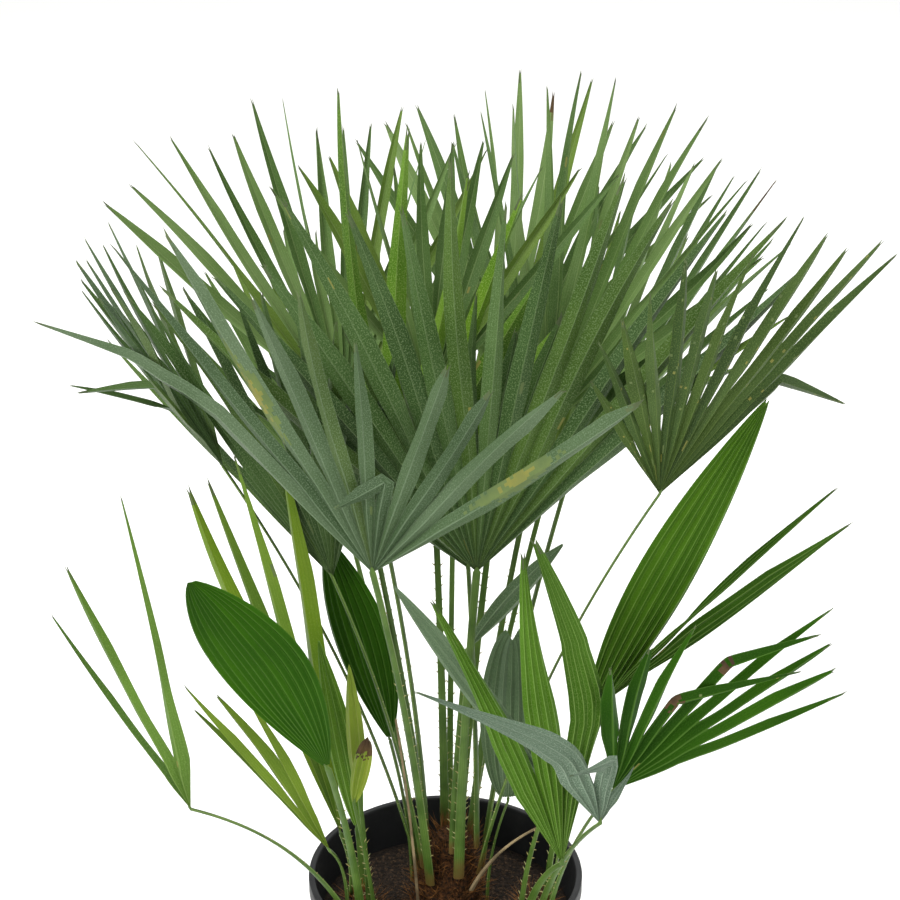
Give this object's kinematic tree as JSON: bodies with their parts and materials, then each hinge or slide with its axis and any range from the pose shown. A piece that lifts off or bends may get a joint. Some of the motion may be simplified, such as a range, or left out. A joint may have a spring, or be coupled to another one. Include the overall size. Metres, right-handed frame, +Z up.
{
  "type": "potted palm",
  "caption": "Clump-forming fan palm with stiff pleated fans on thin spiny stalks, standing in a round tapered nursery pot",
  "frame": {"origin": "centre of the pot's flat underside", "axes": "+Z up along the pot's axis; the side the picture shows faces -Y; +X is to its right"},
  "size_m": [0.6863, 0.5907, 0.9193],
  "materials": {
    "pot_plastic": "satin, moulded",
    "potting_soil": "matt, grainy",
    "stem_fibre": "matt, fibrous",
    "stalk_green": "satin",
    "stalk_dry": "matt, dry",
    "leaf_glaucous": "waxy, matt",
    "leaf_green": "satin",
    "leaf_bright": "satin"
  },
  "bodies": {
    "root": {"pot": "pot_plastic", "soil": "potting_soil", "stem": "stem_fibre", "sucker_left": "stem_fibre", "sucker_right": "stem_fibre", "stalk_front_left": "stalk_green", "stalk_front_right": "stalk_green", "stalk_front_behind": "stalk_green", "stalk_centre": "stalk_green", "stalk_back_left": "stalk_green", "stalk_left": "stalk_green", "stalk_left_low": "stalk_green", "stalk_right": "stalk_green", "stalk_back_middle": "stalk_green", "stalk_back": "stalk_green", "stalk_back_right": "stalk_green", "stalk_right_back": "stalk_green", "stalk_low_back_left": "stalk_green", "stalk_low_back": "stalk_green", "stalk_low_back_right": "stalk_green", "dry_stalk_left": "stalk_dry", "dry_stalk_right": "stalk_dry", "leaf_young_right": "leaf_bright", "leaf_young_left": "leaf_green", "leaf_young_dark": "leaf_green", "leaf_young_small": "leaf_green", "leaf_folded_leaf": "leaf_glaucous", "leaf_spear": "leaf_bright", "leaf_front_grey": "leaf_green", "leaf_yellow_leaf": "leaf_green", "leaf_old_stub": "leaf_green", "frond_right_pair": "leaf_bright", "frond_right_low": "leaf_glaucous", "frond_front_young": "leaf_bright", "frond_right_front": "leaf_glaucous", "frond_left_low_group": "leaf_bright", "frond_left_tall_group": "leaf_bright", "frond_far_left": "leaf_bright", "fan_front_left": "leaf_glaucous", "fan_front_right": "leaf_glaucous", "fan_front_behind": "leaf_green", "fan_centre": "leaf_green", "fan_back_left": "leaf_green", "fan_left": "leaf_glaucous", "fan_left_low": "leaf_green", "fan_right": "leaf_glaucous", "fan_back_middle": "leaf_green", "fan_back": "leaf_green", "fan_back_right": "leaf_green", "fan_right_back": "leaf_green", "fan_low_back_left": "leaf_green", "fan_low_back": "leaf_green", "fan_low_back_right": "leaf_green"}
  },
  "joints": []
}
